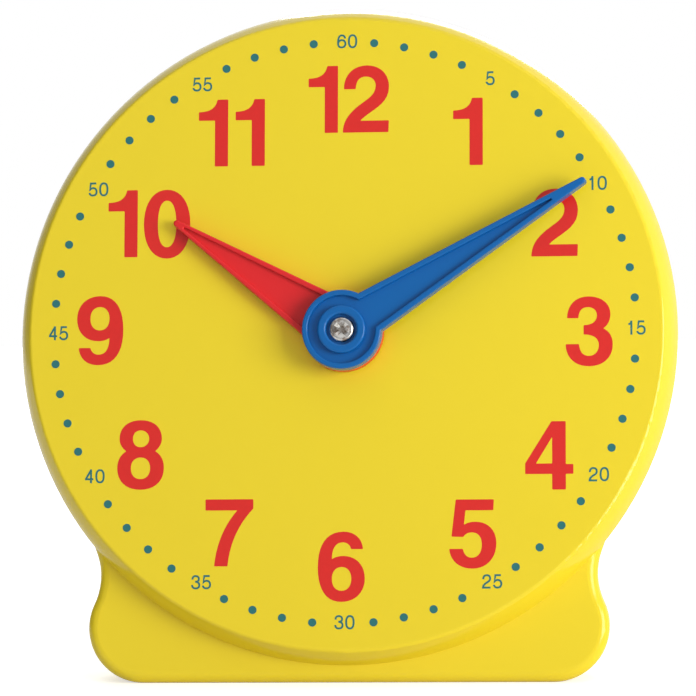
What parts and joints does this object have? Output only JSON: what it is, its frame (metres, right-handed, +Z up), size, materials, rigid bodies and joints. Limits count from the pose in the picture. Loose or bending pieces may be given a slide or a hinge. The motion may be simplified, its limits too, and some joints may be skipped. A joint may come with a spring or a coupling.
{
  "type": "geared teaching clock",
  "caption": "Small round teaching clock on a flared foot, with an easel leg and two hands that gears keep in step as they are turned by hand.",
  "frame": {"origin": "middle of the foot's flat underside, half way between its front and back edges", "axes": "+Z up, +X to the right of someone reading the dial, -Y the way the dial faces; the dial leans 12 degrees back from upright"},
  "size_m": [0.1252, 0.0532, 0.1258],
  "materials": {
    "abs_yellow": "satin moulded ABS",
    "abs_red": "satin moulded ABS",
    "abs_blue": "satin moulded ABS",
    "pom_white": "natural POM, matt",
    "steel_pin": "ground bright steel",
    "zinc_screw": "bright zinc plate",
    "washer_rubber": "matt"
  },
  "bodies": {
    "case": {"front_shell": "abs_yellow", "rear_shell": "abs_yellow", "intermediate_axle": "steel_pin", "friction_washer": "washer_rubber", "leg_hinge_pin": "steel_pin", "cover_screw_1": "zinc_screw", "cover_screw_2": "zinc_screw", "cover_screw_3": "zinc_screw", "cover_screw_4": "zinc_screw", "cover_screw_5": "zinc_screw", "cover_screw_6": "zinc_screw"},
    "minute": {"minute_hand": "abs_blue", "hand_screw": "zinc_screw", "minute_arbor": "pom_white"},
    "hour": {"hour_hand": "abs_red", "hour_wheel": "pom_white"},
    "intermediate": {"intermediate_gear": "pom_white"},
    "leg": {"support_leg": "abs_yellow"}
  },
  "joints": [
    {"name": "minute_turn", "type": "hinge", "parent": "case", "child": "minute", "pos_m": [0, 0.00119, 0.0657], "axis": [0, 0.9781, -0.2079], "continuous": true},
    {"name": "hour_turn", "type": "hinge", "parent": "case", "child": "hour", "pos_m": [0, 0.00119, 0.0657], "axis": [0, 0.9781, -0.2079], "continuous": true},
    {"name": "intermediate_turn", "type": "hinge", "parent": "case", "child": "intermediate", "pos_m": [-0.0241, 0.00119, 0.0657], "axis": [0, 0.9781, -0.2079], "continuous": true},
    {"name": "leg_fold", "type": "hinge", "parent": "case", "child": "leg", "pos_m": [0, 0.02723, 0.07856], "axis": [1, 0, 0], "range_deg": [-22, 0]}
  ],
  "couplings": [
    {"joint": "intermediate_turn", "follows": "minute_turn", "ratio": -0.33333},
    {"joint": "hour_turn", "follows": "minute_turn", "ratio": 0.083333}
  ]
}
